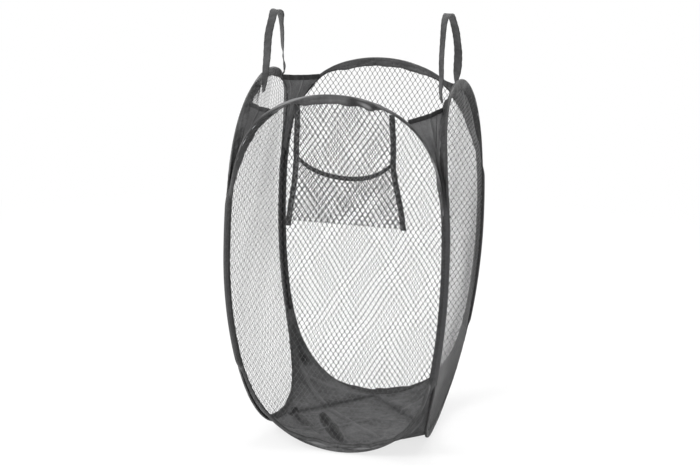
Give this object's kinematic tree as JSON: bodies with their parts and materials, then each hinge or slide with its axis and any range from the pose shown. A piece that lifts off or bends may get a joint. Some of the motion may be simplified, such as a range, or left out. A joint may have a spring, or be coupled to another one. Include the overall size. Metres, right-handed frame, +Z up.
{
  "type": "pop up laundry hamper",
  "caption": "Square pop up laundry hamper of netting panels on sleeved spring wire loops, with a cloth bottom, corner gussets, strap handles and an inner net pocket",
  "frame": {"origin": "on the floor, at the middle of the cloth bottom's flat underside, midway between the planes of the side panels at their widest", "axes": "+Z up, the front panel with the pocket faces -Y, +X to the right seen from the front, the strap handles over the -X and +X panels"},
  "size_m": [0.3708, 0.3784, 0.7213],
  "materials": {
    "sleeve_cloth": "woven polyester with a slight sheen",
    "netting": "knitted polyester mesh",
    "gusset_cloth": "thin plain woven polyester, matt",
    "bottom_fabric": "thin plain woven polyester, creased",
    "seam_tape": "folded polyester tape, matt",
    "webbing": "flat woven strap",
    "spring_steel": "flat drawn spring wire"
  },
  "bodies": {
    "front": {"front_wire": "spring_steel", "front_ferrule": "spring_steel", "front_sleeve": "sleeve_cloth", "front_net": "netting", "pocket_backing_net": "netting", "pocket_pouch_net": "netting", "pocket_edge_binding": "seam_tape", "pocket_tape_left": "seam_tape", "pocket_tape_right": "seam_tape", "bottom_cloth": "bottom_fabric", "corner_tape_front_left": "seam_tape", "gusset_front_left": "gusset_cloth", "gusset_hem_front_left": "seam_tape", "corner_tape_front_right": "seam_tape", "gusset_front_right": "gusset_cloth", "gusset_hem_front_right": "seam_tape"},
    "left": {"left_wire": "spring_steel", "left_ferrule": "spring_steel", "left_sleeve": "sleeve_cloth", "left_net": "netting", "left_handle_front_end": "webbing", "left_handle_back_end": "webbing", "corner_tape_back_left": "seam_tape", "gusset_back_left": "gusset_cloth", "gusset_hem_back_left": "seam_tape"},
    "right": {"right_wire": "spring_steel", "right_ferrule": "spring_steel", "right_sleeve": "sleeve_cloth", "right_net": "netting", "right_handle_front_end": "webbing", "right_handle_back_end": "webbing", "corner_tape_back_right": "seam_tape", "gusset_back_right": "gusset_cloth", "gusset_hem_back_right": "seam_tape"},
    "back": {"back_wire": "spring_steel", "back_ferrule": "spring_steel", "back_sleeve": "sleeve_cloth", "back_net": "netting"},
    "left_handle": {"left_handle": "webbing"},
    "right_handle": {"right_handle": "webbing"}
  },
  "joints": [
    {"name": "front_left_fold", "type": "hinge", "parent": "front", "child": "left", "pos_m": [-0.123, -0.123, 0.3], "axis": [0, 0, -1], "range_deg": [0, 90], "deforming": ["corner_tape_front_left", "gusset_front_left", "gusset_hem_front_left", "bottom_cloth"]},
    {"name": "front_right_fold", "type": "hinge", "parent": "front", "child": "right", "pos_m": [0.185, -0.185, 0.3], "axis": [0, 0, -1], "range_deg": [0, 90], "deforming": ["corner_tape_front_right", "gusset_front_right", "gusset_hem_front_right", "corner_tape_back_right", "gusset_back_right", "gusset_hem_back_right"]},
    {"name": "back_left_fold", "type": "hinge", "parent": "left", "child": "back", "pos_m": [-0.185, 0.185, 0.3], "axis": [0, 0, 1], "range_deg": [0, 90], "deforming": ["corner_tape_back_left", "gusset_back_left", "gusset_hem_back_left"]},
    {"name": "left_strap_swing", "type": "hinge", "parent": "left", "child": "left_handle", "pos_m": [-0.15555, 0.018, 0.61], "axis": [0, 1, 0], "range_deg": [-90, 75]},
    {"name": "right_strap_swing", "type": "hinge", "parent": "right", "child": "right_handle", "pos_m": [0.15232, 0.001, 0.60563], "axis": [0, -1, 0], "range_deg": [-98, 67]}
  ],
  "couplings": [
    {"joint": "front_right_fold", "follows": "front_left_fold", "ratio": 1},
    {"joint": "back_left_fold", "follows": "front_left_fold", "ratio": 1}
  ]
}
